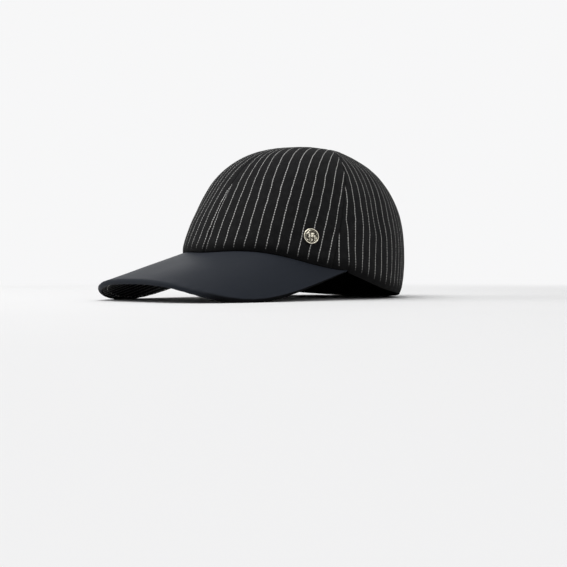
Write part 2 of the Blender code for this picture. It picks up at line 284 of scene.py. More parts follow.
    def side_seam(self, climb: np.ndarray) -> np.ndarray:
        """Angle of the side seam, which leans back as it climbs."""
        return np.radians(mix(self.seam_at_rim, self.seam_at_top, climb / QUARTER))

    def set_down(self, points: np.ndarray) -> np.ndarray:
        """Points of the cap's own frame, moved to where the cap rests and levelled on the floor."""
        turn = math.radians(self.rest_tilt)
        x, y, z = points[..., 0], points[..., 1], points[..., 2]
        forward = y * math.cos(turn) + z * math.sin(turn) + self.rest_forward
        height = z * math.cos(turn) - y * math.sin(turn) + self.rest_lift
        return np.stack([x, forward, np.maximum(height, 0.0)], axis=-1)

    def rest_matrix(self) -> Matrix:
        """The same move as a matrix, for pieces that are placed whole."""
        shift = Matrix.Translation((0.0, self.rest_forward, self.rest_lift))
        return shift @ Matrix.Rotation(-math.radians(self.rest_tilt), 4, "X")


class ArcMap:
    """Lengths over the crown's outside, looked up by angle and climb."""

    def __init__(self, shape: CapShape, steps: int = 360) -> None:
        """Measure the crown once on an even grid of angles and climbs."""
        self.angles = np.linspace(0.0, math.pi, 2 * steps + 1)
        self.climbs = np.linspace(0.0, QUARTER, steps + 1)
        angle, climb = np.meshgrid(self.angles, self.climbs)
        points = shape.crown(angle, climb, 0.0)
        round_way = np.linalg.norm(np.diff(points, axis=1), axis=-1)
        up_way = np.linalg.norm(np.diff(points, axis=0), axis=-1)
        self.across = np.pad(np.cumsum(round_way, axis=1), ((0, 0), (1, 0)))
        self.along = np.pad(np.cumsum(up_way, axis=0), ((1, 0), (0, 0)))

    def look_up(self, table: np.ndarray, angle: np.ndarray, climb: np.ndarray) -> np.ndarray:
        """Value of a table between its grid points."""
        column = np.clip(angle / self.angles[1], 0.0, len(self.angles) - 1.001)
        row = np.clip(climb / self.climbs[1], 0.0, len(self.climbs) - 1.001)
        i, j = row.astype(int), column.astype(int)
        up, on = row - i, column - j
        low = mix(table[i, j], table[i, j + 1], on)
        high = mix(table[i + 1, j], table[i + 1, j + 1], on)
        return mix(low, high, up)

    def width(self, angle: np.ndarray, climb: np.ndarray) -> np.ndarray:
        """Length round the crown from the front to an angle, at one climb."""
        return self.look_up(self.across, angle, climb)

    def height(self, angle: np.ndarray, climb: np.ndarray) -> np.ndarray:
        """Length up the crown from its lower edge to a climb, at one angle."""
        return self.look_up(self.along, angle, climb)


Factor = Union[float, "Value"]


class Value:
    """Socket of a shader that takes part in ordinary arithmetic."""

    def __init__(self, graph: "ShaderGraph", socket: bpy.types.NodeSocket) -> None:
        """Wrap a socket of a graph."""
        self.graph = graph
        self.socket = socket

    def __add__(self, other: Factor) -> "Value":
        """Sum."""
        return self.graph.math("ADD", self, other)

    __radd__ = __add__

    def __sub__(self, other: Factor) -> "Value":
        """Difference."""
        return self.graph.math("SUBTRACT", self, other)

    def __rsub__(self, other: Factor) -> "Value":
        """Difference, from a number."""
        return self.graph.math("SUBTRACT", other, self)

    def __mul__(self, other: Factor) -> "Value":
        """Product."""
        return self.graph.math("MULTIPLY", self, other)

    __rmul__ = __mul__

    def __truediv__(self, other: Factor) -> "Value":
        """Quotient."""
        return self.graph.math("DIVIDE", self, other)

    def __abs__(self) -> "Value":
        """Size without its sign."""
        return self.graph.math("ABSOLUTE", self)


class ShaderGraph:
    """Material whose nodes are added one at a time."""

    def __init__(self, name: str) -> None:
        """Start a material with one Principled shader."""
        self.material = bpy.data.materials.new(name)
        self.material.use_nodes = True
        self.tree = self.material.node_tree
        self.shader = self.tree.nodes["Principled BSDF"]
        self.output = self.tree.nodes["Material Output"]

    def node(self, kind: str, settings: dict, sockets: dict) -> bpy.types.Node:
        """Add a node.

        Args:
            kind: Type of the node.
            settings: Its own settings, which are made first.
            sockets: What its inputs hold, by name or number: a number, a colour or a Value.

        Returns:
            The new node.
        """
        made = self.tree.nodes.new(kind)
        for name, value in settings.items():
            setattr(made, name, value)
        for name, value in sockets.items():
            self.feed(made.inputs[name], value)
        return made

    def feed(self, socket: bpy.types.NodeSocket, value: object) -> None:
        """Link a Value to a socket, or set the number or colour that it holds."""
        if isinstance(value, Value):
            self.tree.links.new(value.socket, socket)
        else:
            socket.default_value = value

    def out(self, made: bpy.types.Node, name: Union[str, int] = 0) -> Value:
        """Output of a node, by name or number."""
        return Value(self, made.outputs[name])

    def math(self, operation: str, *values: Factor) -> Value:
        """Result of one Math node."""
        sockets = dict(enumerate(values))
        return self.out(self.node("ShaderNodeMath", {"operation": operation}, sockets))

    def step(self, value: Value, start: float, end: float) -> Value:
        """Smooth step of a value, 0 at start and 1 at end."""
        made = self.node("ShaderNodeMapRange", {"interpolation_type": "SMOOTHSTEP"},
                         {"Value": value, "From Min": start, "From Max": end})
        return self.out(made, "Result")

    def blend(self, factor: Factor, first: object, second: object) -> Value:
        """Colour between two colours."""
        made = self.node("ShaderNodeMix", {"data_type": "RGBA"}, {0: factor, 6: first, 7: second})
        return self.out(made, 2)

    def grain(self, vector: Value, scale: float, detail: float, roughness: float = 0.5) -> Value:
        """Noise from 0 to 1 over a vector."""
        made = self.node("ShaderNodeTexNoise", {},
                         {"Vector": vector, "Scale": scale, "Detail": detail, "Roughness": roughness})
        return self.out(made, "Fac")

    def bump(self, height: Value, strength: float, distance: float) -> Value:
        """Normal of a height map, its distance in metres."""
        made = self.node("ShaderNodeBump", {},
                         {"Height": height, "Strength": strength, "Distance": distance})
        return self.out(made, "Normal")

    def place(self) -> Value:
        """Object coordinates, in metres."""
        return self.out(self.node("ShaderNodeTexCoord", {}, {}), "Object")

    def cloth_map(self) -> Value:
        """The piece's own cloth map: stripe number, and millimetres along the stripe."""
        return self.out(self.node("ShaderNodeUVMap", {"uv_map": "cloth"}, {}))

    def parts(self, vector: Value) -> tuple[Value, Value]:
        """First and second part of a vector."""
        made = self.node("ShaderNodeSeparateXYZ", {}, {"Vector": vector})
        return self.out(made, "X"), self.out(made, "Y")

    def join(self, x: Factor, y: Factor) -> Value:
        """Vector of two values."""
        return self.out(self.node("ShaderNodeCombineXYZ", {}, {"X": x, "Y": y}))

    def attribute(self, name: str) -> Value:
        """Attribute of the piece, a number for each point."""
        return self.out(self.node("ShaderNodeAttribute", {"attribute_name": name}, {}), "Fac")

    def dress(self, **sockets: object) -> None:
        """Feed the shader's sockets, named with _ for a space."""
        for name, value in sockets.items():
            title = name.replace("_", " ").title().replace("Ior", "IOR")
            self.feed(self.shader.inputs[title], value)

    def fade_to(self, share: Value, other: bpy.types.Node) -> None:
        """Show another shader over the Principled one, by a share."""
        shown = self.node("ShaderNodeMixShader", {},
                          {0: share, 1: self.out(self.shader), 2: self.out(other)})
        self.feed(self.output.inputs["Surface"], self.out(shown))


Colour = tuple[float, float, float, float]


@dataclass(frozen=True)
class Wander:
    """Noise that bends the stripes: its scale over the cloth, and by how many stripes."""

    scale: float
    stripes: float


@dataclass(frozen=True)
class PinstripeWool:
    """Black wool with thin broken off-white pinstripes. Lengths in millimetres."""

    name: str = "pinstripe_wool"
    ground: Colour = (0.0062, 0.0062, 0.0067, 1.0)
    ground_light: Colour = (0.0142, 0.0146, 0.015, 1.0)
    shaded: Colour = (0.0016, 0.0016, 0.0018, 1.0)
    stripe: Colour = (0.56, 0.555, 0.54, 1.0)
    pitch: float = 7.4
    half_line: float = 0.31
    bead: float = 2.0
    faint: float = 0.16
    twill: float = 0.95
    fuzz_scale: float = 1.6
    mottle_scale: float = 0.22
    speck_scale: float = 0.8
    shaded_share: float = 0.85
    relief: float = 0.25 * MM
    wanders: tuple[Wander, ...] = (Wander(0.03, 0.2), Wander(0.11, 0.14), Wander(0.7, 0.05))

    def material(self) -> bpy.types.Material:
        """Nodes of the cloth: twill ground, beaded stripes that stop at the hem, and fuzz."""
        graph = ShaderGraph(self.name)
        number, length = graph.parts(graph.cloth_map())
        breadth = number * self.pitch
        flat = graph.join(breadth, length)
        place = number
        for wander in self.wanders:
            place = place + (graph.grain(flat, wander.scale, 1.0) - 0.5) * wander.stripes
        nearest = graph.math("ROUND", place)
        away = abs(place - nearest) * self.pitch
        line = 1.0 - graph.step(away, 0.5 * self.half_line, 1.25 * self.half_line)
        shift = graph.math("FRACT", nearest * 0.618)
        beat = graph.math("SINE", (length / self.bead + shift) * TURN)
        speck = graph.grain(graph.join(nearest * 3.7, length), self.speck_scale, 3.0, 0.7)
        bead = graph.step(beat * 0.34 + speck * 1.9, 0.5, 1.3)
        clear = graph.step(length, 0.0, 0.5)
        thread = line * clear * (self.faint + (1.0 - self.faint) * bead)

        twill = graph.math("SINE", (breadth + length) * (TURN / self.twill))
        cross = graph.math("SINE", (breadth - length) * (TURN / (0.5 * self.twill)))
        fuzz = graph.grain(flat, self.fuzz_scale, 4.0, 0.65)
        mottle = graph.grain(flat, self.mottle_scale, 3.0)
        lightness = graph.step(fuzz * 0.75 + mottle * 0.6 + twill * 0.06, 0.52, 0.95)
        ground = graph.blend(lightness, self.ground, self.ground_light)
        shade = graph.attribute("shade") * self.shaded_share
        height = twill * 0.28 + cross * 0.12 + fuzz * 1.1 + thread * 0.5
        graph.dress(
            base_color=graph.blend(shade, graph.blend(thread, ground, self.stripe), self.shaded),
            roughness=0.86 + 0.1 * fuzz,
            normal=graph.bump(height, 0.5, self.relief),
            specular_ior_level=0.09,
            sheen_weight=0.02,
            sheen_roughness=0.55,
        )
        return graph.material


@dataclass(frozen=True)
class SlateSatin:
    """Smooth slate cloth with a soft satin sheen, in a fine plain weave."""

    name: str = "slate_satin"
    deep: Colour = (0.0144, 0.0175, 0.0242, 1.0)
    light: Colour = (0.016, 0.0195, 0.0266, 1.0)
    # Colours of the painted shade on the rolled edge, varied by fine grain.
    edge: Colour = (0.0028, 0.0029, 0.0034, 1.0)
    edge_light: Colour = (0.0055, 0.0058, 0.0067, 1.0)
    thread: float = 0.45 * MM
    uneven_scale: float = 38.0
    fine_scale: float = 900.0

    def material(self) -> bpy.types.Material:
        """Nodes of the cloth: fine weave, slight unevenness, a broad sheen and a near-black edge of painted
        shade.
        """
        graph = ShaderGraph(self.name)
        spot = graph.place()
        x, y = graph.parts(spot)
        turns = TURN / self.thread
        weave = graph.math("SINE", x * turns) * graph.math("SINE", y * turns)
        uneven = graph.grain(spot, self.uneven_scale, 4.0)
        fine = graph.grain(spot, self.fine_scale, 3.0, 0.6)
        relief = graph.bump(weave * 0.25 + fine * 0.2, 0.06, 0.1 * MM)
        graph.dress(
            base_color=graph.blend(graph.step(uneven * 0.8 + fine * 0.3, 0.3, 0.8), self.deep, self.light),
            roughness=0.54 + 0.06 * fine,
            normal=relief,
            specular_ior_level=0.12,
            sheen_weight=0.02,
            sheen_roughness=0.4,
            sheen_tint=(0.8, 0.85, 1.0, 1.0),
        )
        # Painted shade: a dark matt shader faded in over the rolled edge and a band beside it, by the rolled
        # attribute.
        edge_shade = graph.node("ShaderNodeBsdfPrincipled", {}, {
            "Base Color": graph.blend(fine, self.edge, self.edge_light),
            "Roughness": 0.9, "Specular IOR Level": 0.03, "Normal": relief})
        graph.fade_to(graph.step(graph.attribute("rolled") + (uneven - 0.5) * 0.1, 0.05, 0.95), edge_shade)
        return graph.material


@dataclass(frozen=True)
class PaleThread:
    """Off-white sewing thread, twisted from two strands."""

    name: str = "pale_thread"
    dark: Colour = (0.06, 0.06, 0.058, 1.0)
    light: Colour = (0.62, 0.61, 0.58, 1.0)
    strand_scale: float = 2600.0
    soil_scale: float = 160.0

    def material(self) -> bpy.types.Material:
        """Nodes of the thread: twisted strands, and soiling that varies along the row."""
        graph = ShaderGraph(self.name)
        spot = graph.place()
        strand = graph.grain(spot, self.strand_scale, 2.0)
        soil = graph.grain(spot, self.soil_scale, 3.0)
        graph.dress(
            base_color=graph.blend(graph.step(soil * 0.9 + strand * 0.2, 0.42, 0.72), self.dark, self.light),
            roughness=0.7 + 0.2 * strand,
            normal=graph.bump(strand, 0.5, 0.1 * MM),
        )
        return graph.material


@dataclass(frozen=True)
class AgedBrass:
    """Pale polished brass, darker where it lies low."""

    name: str = "aged_brass"
    bright: Colour = (0.85, 0.8, 0.66, 1.0)
    patina: Colour = (0.032, 0.027, 0.017, 1.0)
    scuff_scale: float = 1500.0

    def material(self) -> bpy.types.Material:
        """Nodes of the metal: patina held in an attribute of the piece, and fine scratches."""
        graph = ShaderGraph(self.name)
        scuff = graph.grain(graph.place(), self.scuff_scale, 3.0, 0.6)
        dirt = graph.step(graph.attribute("patina") * 1.15 + (scuff - 0.5) * 0.35, 0.2, 0.75)
        graph.dress(
            base_color=graph.blend(dirt, self.bright, self.patina),
            metallic=1.0 - 0.35 * dirt,
            roughness=0.13 + 0.35 * dirt + 0.08 * scuff,
            normal=graph.bump(scuff, 0.2, 0.05 * MM),
        )
        return graph.material


@dataclass(frozen=True)
class StudioWhite:
    """Matt white floor that fades into the pale room."""

    name: str = "studio_white"
    tone: Colour = (0.76, 0.76, 0.762, 1.0)
    room: Colour = (0.93, 0.93, 0.935, 1.0)
    near: float = 0.25
    far: float = 1.1

    def material(self) -> bpy.types.Material:
        """Nodes of the floor: faint unevenness, and a fade with the distance from the cap."""
        graph = ShaderGraph(self.name)
        spot = graph.place()
        distance = graph.out(graph.node("ShaderNodeVectorMath", {"operation": "LENGTH"}, {0: spot}), "Value")
        fade = graph.step(distance, self.near, self.far)
        uneven = graph.grain(spot, 6.0, 3.0)
        graph.dress(base_color=graph.blend(uneven * 0.1, self.tone, self.room), roughness=0.9,
                    specular_ior_level=0.1)
        graph.fade_to(fade, graph.node("ShaderNodeEmission", {}, {"Color": self.room}))
        return graph.material


def deselect() -> None:
    """Leave object mode with nothing selected and nothing active."""
    if bpy.context.object and bpy.context.object.mode != "OBJECT":
        bpy.ops.object.mode_set(mode="OBJECT")
    bpy.ops.object.select_all(action="DESELECT")


def choose(item: bpy.types.Object) -> None:
    """Select one object alone and make it active."""
    deselect()
    item.select_set(True)
    bpy.context.view_layer.objects.active = item


def pick_faces(item: bpy.types.Object, test: Callable[[Vector, Vector], bool]) -> None:
    """Select the faces whose centre and normal pass a test, and enter edit mode on them."""
    choose(item)
    bpy.ops.object.mode_set(mode="EDIT")
    bpy.ops.mesh.select_mode(type="FACE")
    bpy.ops.mesh.select_all(action="DESELECT")
    shown = bmesh.from_edit_mesh(item.data)
    for face in shown.faces:
        face.select_set(test(face.calc_center_median(), face.normal))
    bmesh.update_edit_mesh(item.data)


def mesh_piece(name: str, points: np.ndarray, faces: list[tuple[int, ...]],
               cloth: np.ndarray | None = None, **values: np.ndarray) -> bpy.types.Object:
    """Closed piece from points and faces.

    Args:
        name: Name of the piece.
        points: One row for each point.
        faces: Indices of each face's points.
        cloth: Place of each point on the cut cloth, or None.
        **values: Attributes that the finish reads, with a value for each point.

    Returns:
        The new object, its doubles merged and its faces turned outwards.
    """
    mesh = bpy.data.meshes.new(name)
    mesh.from_pydata(points.tolist(), [], faces)
    if cloth is not None:
        layer = mesh.uv_layers.new(name="cloth")
        corners = np.empty(len(mesh.loops), np.int32)
        mesh.loops.foreach_get("vertex_index", corners)
        layer.data.foreach_set("uv", cloth[corners].astype(np.float32).ravel())
    for title, numbers in values.items():
        mesh.attributes.new(title, "FLOAT", "POINT").data.foreach_set("value", numbers.ravel())
    shell = bmesh.new()
    shell.from_mesh(mesh)
    bmesh.ops.remove_doubles(shell, verts=shell.verts, dist=1e-6)
    bmesh.ops.dissolve_degenerate(shell, dist=1e-7, edges=shell.edges)
    bmesh.ops.recalc_face_normals(shell, faces=shell.faces)
    shell.to_mesh(mesh)
    shell.free()
    mesh.shade_smooth()
    piece = bpy.data.objects.new(name, mesh)
    bpy.context.scene.collection.objects.link(piece)
    return piece


def report(piece: bpy.types.Object) -> None:
    """Log a piece and its number of faces."""
    LOG.info("%s: %d faces", piece.name, len(piece.data.polygons))


def grid_area(points: np.ndarray) -> float:
    """Area of a surface through a grid of points."""
    one = points[1:, :-1] - points[:-1, :-1]
    two = points[:-1, 1:] - points[:-1, :-1]
    return float(np.linalg.norm(np.cross(one, two), axis=-1).sum())


def strip_faces(rows: int, columns: int, closed: bool = False) -> list[tuple[int, ...]]:
    """Quads between neighbouring rows of a grid of points.

    Args:
        rows: Number of rows.
        columns: Points in each row.
        closed: Whether each row runs back to its first point.

    Returns:
        Faces as indices, the points numbered row by row.
    """
    faces = []
    for row in range(rows - 1):
        for column in range(columns if closed else columns - 1):
            on = (column + 1) % columns
            faces.append((row * columns + column, row * columns + on,
                          (row + 1) * columns + on, (row + 1) * columns + column))
    return faces


def tube_faces(rows: int, columns: int) -> list[tuple[int, ...]]:
    """Faces of a closed tube through rows of points, with a cap at each end."""
    ends = [tuple(row * columns + column for column in range(columns)) for row in (0, rows - 1)]
    return strip_faces(rows, columns, closed=True) + ends


@dataclass
class CrownPanel:
    """One cloth panel of the crown, from the hem or visor up to the apex."""

    shape: CapShape
    arcs: ArcMap
    place: PanelPlace
    hand: Hand
    grain_angle: float
    stripe_pitch: float
    stripe_start: float
    columns: int = 128
    rows: int = 112
    hem_turns: int = 9
    groove_depth: float = 0.0005
    groove_width: float = 0.0012
    pucker: float = 0.00016
    pucker_pitch: float = 0.0085
    pucker_reach: float = 0.005
    hem_pucker: float = 0.000096
    hem_pucker_pitch: float = 0.013
    hem_pucker_reach: float = 0.007
    calm_height: float = 0.012
    calm_at_apex: float = 0.25
    wave_depth: float = 0.0005
    wave_size: float = 0.03
    ripple_depth: float = 0.00014
    ripple_size: float = 0.009
    hem_at_visor: float = 0.0022
    hem_at_rim: float = 0.0034
    hem_change: float = 0.12
    seam_crowding: float = 0.08
    rim_crowding: float = 0.06
    inner_groove: float = 0.3
    interlock: float = 0.0006
    shade_height: float = 0.0044
    gather: float = 0.12
    gather_at_back: float = 0.5
    back_from: float = 110.0
    lean_at_front: float = 0.45
    lean_span: float = 25.0
    folds: tuple[Fold, ...] = (
        Fold(angle=96.0, climb=27.0, half_width=2.6, half_climb=17.0, height=-0.00055, shift=0.0),
        Fold(angle=102.0, climb=25.0, half_width=11.0, half_climb=8.0, height=0.0003, shift=0.45),
        Fold(angle=86.0, climb=17.0, half_width=9.0, half_climb=8.0, height=0.0003, shift=-0.15),
        Fold(angle=74.5, climb=17.5, half_width=3.5, half_climb=5.0, height=-0.0003, shift=0.24),
        Fold(angle=76.0, climb=0.0, half_width=7.0, half_climb=5.0, height=0.0, shift=-0.34),
        Fold(angle=94.0, climb=15.0, half_width=5.0, half_climb=4.5, height=-0.0003, shift=-0.28),
        Fold(angle=83.0, climb=50.0, half_width=5.0, half_climb=9.0, height=-0.0004, shift=0.05),
        Fold(angle=20.0, climb=33.0, half_width=6.0, half_climb=14.0, height=-0.00045, shift=0.08),
        Fold(angle=47.0, climb=38.0, half_width=9.0, half_climb=9.0, height=0.0003, shift=-0.06),
    )
    cut_area: float = field(default=0.0, init=False)

    @property
    def name(self) -> str:
        """Name of the piece."""
        return f"{self.place.value}_{self.hand.name.lower()}_cloth"

    @property
    def node(self) -> str:
        """Name of the solid that the piece stands for."""
        return f"{self.place.value}_{self.hand.name.lower()}_panel"

    def seams(self, climb: np.ndarray) -> tuple[np.ndarray, np.ndarray]:
        """Angles of the panel's two seams at a climb."""
        side = self.shape.side_seam(climb)
        if self.place is PanelPlace.FRONT:
            return np.zeros_like(side), side
        return side, np.full_like(side, math.pi)

    def rise_shares(self) -> np.ndarray:
        """Shares of the climb for the rows, evenly spaced along the cloth, closer at the rim."""
        fine = np.linspace(0.0, QUARTER, 2000)
        middle = np.full_like(fine, math.radians(60.0))
        length = self.arcs.height(middle, fine)
        even = np.linspace(0.0, 1.0, self.rows)
        spaced = even - self.rim_crowding * np.sin(TURN * even) * (1.0 - even)
        return np.interp(spaced * length[-1], length, fine) / QUARTER

    def grid(self) -> tuple[np.ndarray, np.ndarray]:
        """Angles and climbs of the panel's points, one row for each step up the cloth."""
        even = np.linspace(0.0, 1.0, self.columns)
        share = even - self.seam_crowding * np.sin(TURN * even)
        start_a, end_a = self.seams(np.zeros(1))
        lowest = self.shape.climb_of(mix(start_a, end_a, share), 0.5 * self.shape.cloth_wall)
        climb = mix(lowest[None, :], QUARTER, self.rise_shares()[:, None])
        start, end = self.seams(climb)
        step = 0.004
        margins = []
        for angle in (start, end):
            stride = (self.arcs.width(np.clip(angle, step, math.pi - step) + step, climb)
                      - self.arcs.width(np.clip(angle, step, math.pi - step) - step, climb)) / (2 * step)
            margins.append(np.minimum(0.5 * self.shape.seam_gap / np.maximum(stride, 1e-6),
                                      0.49 * (end - start)))
        return mix(start + margins[0], end - margins[1], share[None, :]), climb

    def relief(self, points: np.ndarray, angle: np.ndarray, climb: np.ndarray) -> np.ndarray:
        """How far the outside stands proud of the smooth crown.

        Args:
            points: Smooth points of the outside.
            angle: Their angles.
            climb: Their climbs.

        Returns:
            Lengths outwards, in metres: negative in the grooves of the seams.
        """
        start, end = self.seams(climb)
        here = self.arcs.width(angle, climb)
        length = self.arcs.height(angle, climb)
        height = ease(length / self.calm_height) * ease((QUARTER - climb) / self.calm_at_apex)
        side = np.array([1.0 * self.hand.value, 1.0, 1.0])
        out = self.wave_depth * waves(points * side, self.wave_size, 3.1) * height
        out += self.ripple_depth * waves(points * side, self.ripple_size, 7.7) * height
        for edge, phase in ((start, 0.0), (end, 1.3)):
            away = np.abs(here - self.arcs.width(edge, climb))
            beat = np.sin(TURN * length / self.pucker_pitch + phase + 2.0 * np.sin(length / 0.021))
            out -= self.groove_depth * np.exp(-((away / self.groove_width) ** 1.5))
            out += self.pucker * beat * np.exp(-away / self.pucker_reach) * height
        beat = np.sin(TURN * here / self.hem_pucker_pitch + 1.7 * np.sin(here / 0.03))
        out += self.hem_pucker * beat * np.exp(-length / self.hem_pucker_reach)
        for fold in self.folds:
            out += fold.height * fold.reach(angle, climb) * height
        return out

    def cloth_place(self, angle: np.ndarray, climb: np.ndarray) -> np.ndarray:
        """Place on the cut cloth: stripe number, and millimetres above the hem."""
        grain = np.full_like(angle, math.radians(self.grain_angle))
        rim = np.zeros_like(climb)
        at_rim = self.arcs.width(angle, rim) - self.arcs.width(grain, rim)
        lean = self.arcs.width(grain, rim) - self.arcs.width(grain, climb)
        leaning = mix(self.lean_at_front, 1.0, ease(angle / math.radians(self.lean_span)))
        level = self.arcs.width(angle, climb) - self.arcs.width(grain, rim) + leaning * lean
        back_from = math.radians(self.back_from)
        behind = ease((angle - back_from) / (math.pi - back_from))
        gather = mix(self.gather, self.gather_at_back, behind)
        across = mix(level, at_rim, gather)
        for fold in self.folds:
            across += fold.shift * self.stripe_pitch * fold.reach(angle, climb)
        spread = math.radians(self.shape.visor_spread)
        hem = mix(self.hem_at_visor, self.hem_at_rim, ease((angle - spread) / self.hem_change + 0.5))
        length = (self.arcs.height(angle, climb) - hem) / MM
        return np.stack([(across - self.stripe_start) / self.stripe_pitch, length], axis=-1)

    def seam_ridge(self, outer: np.ndarray, inner: np.ndarray, column: int) -> np.ndarray:
        """Points half way through the wall beside a seam, where two panels interlock.

        Args:
            outer: Points of the outside.
            inner: Points of the inside.
            column: First or last column, the one beside the seam.

        Returns:
            One point for each row, proud on one of the two panels and set back on the other.
        """
        beside = 1 if column == 0 else column - 1
        away = unit(outer[:, column] - outer[:, beside])
        middle = 0.5 * (outer[:, column] + inner[:, column])
        radius = np.hypot(middle[:, 0], middle[:, 1] - self.shape.apex_setback)
        depth = np.minimum(self.interlock, 0.25 * radius)
        at_centre = (column == 0) == (self.place is PanelPlace.FRONT)
        proud = self.hand is Hand.LEFT if at_centre else self.place is PanelPlace.FRONT
        return middle + away * (depth if proud else -depth)[:, None]

    def wall_faces(self, count: int, column: int, ridge: int) -> list[tuple[int, ...]]:
        """Faces of the wall beside a seam.

        Args:
            count: Rows of the cloth, from the apex round the hem and back to it.
            column: First or last column, the one beside the seam.
            ridge: Index of the ridge's first point, the one at the apex.

        Returns:
            Quads on both sides of the ridge, and a fan that closes the hem's end.
        """
        faces = []
        for row in range(self.rows - 1):
            faces.append((row * self.columns + column, (row + 1) * self.columns + column,
                          ridge + row + 1, ridge + row))
            faces.append((ridge + row, ridge + row + 1, (count - 2 - row) * self.columns + column,
                          (count - 1 - row) * self.columns + column))
        for row in range(self.rows - 1, self.rows + self.hem_turns):
            faces.append((row * self.columns + column, (row + 1) * self.columns + column,
                          ridge + self.rows - 1))
        return faces

    def layers(self, angle: np.ndarray, climb: np.ndarray) -> tuple[np.ndarray, np.ndarray]:
        """Outside and inside of the cloth with its relief, open by a seam's gap at the apex."""
        outer = self.shape.crown(angle, climb, 0.0)
        inner = self.shape.crown(angle, climb, self.shape.cloth_wall)
        out_way = unit(np.cross(np.gradient(outer, axis=1), np.gradient(outer, axis=0)))
        out_way[-1] = np.array([0.0, 0.0, 1.0])
        proud = self.relief(outer, angle, climb)
        body = np.minimum(proud, 0.0) * self.inner_groove + np.maximum(proud, 0.0)
        outer = outer + out_way * proud[..., None]
        inner = inner + out_way * body[..., None]
        gap = self.shape.seam_gap / (math.sqrt(2.0) * self.shape.rim_half_width)
        for layer in (outer, inner):
            layer[-1] = mix(layer[-1], layer[-2].mean(axis=0), gap * 4.0)
        return outer, inner

    def hem(self, outer: np.ndarray, inner: np.ndarray, turn: np.ndarray) -> np.ndarray:
        """Rows round the turned hem, between the lowest rows of the outside and the inside."""
        half = 0.5 * (outer - inner)
        down = np.zeros_like(half)
        down[:, 2] = -0.5 * self.shape.cloth_wall
        return 0.5 * (outer + inner) + half * np.cos(turn) + down * np.sin(turn)

    def build(self) -> bpy.types.Object:
        """Closed cloth wall: down the outside, round the hem and up the inside."""
        angle, climb = self.grid()
        outer, inner = self.layers(angle, climb)
        turn = math.pi * np.arange(1, self.hem_turns + 1) / (self.hem_turns + 1)
        hem = self.hem(outer[0], inner[0], turn[:, None, None])
        rows = np.concatenate([outer[::-1], hem, inner])
        across = self.cloth_place(angle, climb)
        hem_cloth = np.stack([np.broadcast_to(across[0, :, 0], hem.shape[:2]),
                              across[0, :, 1] - 1.5 * turn[:, None]], axis=-1)
        inner_cloth = across.copy()
        inner_cloth[..., 1] = -4.0 - inner_cloth[..., 1].clip(0.0)
        cloth = np.concatenate([across[::-1], hem_cloth, inner_cloth])
        self.cut_area = grid_area(outer)
        count = len(rows)
        faces = strip_faces(count, self.columns)
        points = [rows.reshape(-1, 3)]
        places = [cloth.reshape(-1, 2)]
        for number, column in enumerate((0, self.columns - 1)):
            points.append(self.seam_ridge(outer, inner, column)[::-1])
            places.append(across[::-1, column])
            faces += self.wall_faces(count, column, count * self.columns + number * self.rows)
        shell = np.concatenate(points)
        shell[:, 0] *= self.hand.value
        places = np.concatenate(places)
        above = (places[:, 1] * MM / self.shade_height).clip(0.0)
        shade = np.exp(-(above ** 2))
        return mesh_piece(self.name, self.shape.set_down(shell), faces, places, shade=shade)

    def dress(self, piece: bpy.types.Object, finish: bpy.types.Material) -> None:
        """Give the cloth its finish and say what it is."""
        piece.data.materials.append(finish)
        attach(piece, "root")
        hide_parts(self.node)
        start, end = self.seams(np.zeros(1))
        low = np.zeros(1)
        width = float((self.arcs.width(end, low) - self.arcs.width(start, low))[0])
        report(piece)


@dataclass
class Crown:
    """The four panels, alike left and right but for their small waves."""

    shape: CapShape
    arcs: ArcMap

    def build(self, finish: bpy.types.Material) -> None:
        """Build and dress the panels."""
        for hand in Hand:
            for panel in (
                CrownPanel(self.shape, self.arcs, PanelPlace.FRONT, hand, grain_angle=30.0,
                           stripe_pitch=0.0079, stripe_start=0.0),
                CrownPanel(self.shape, self.arcs, PanelPlace.BACK, hand, grain_angle=80.0,
                           stripe_pitch=0.00805, stripe_start=-0.0015, columns=176, gather=0.9),
            ):
                panel.dress(panel.build(), finish)


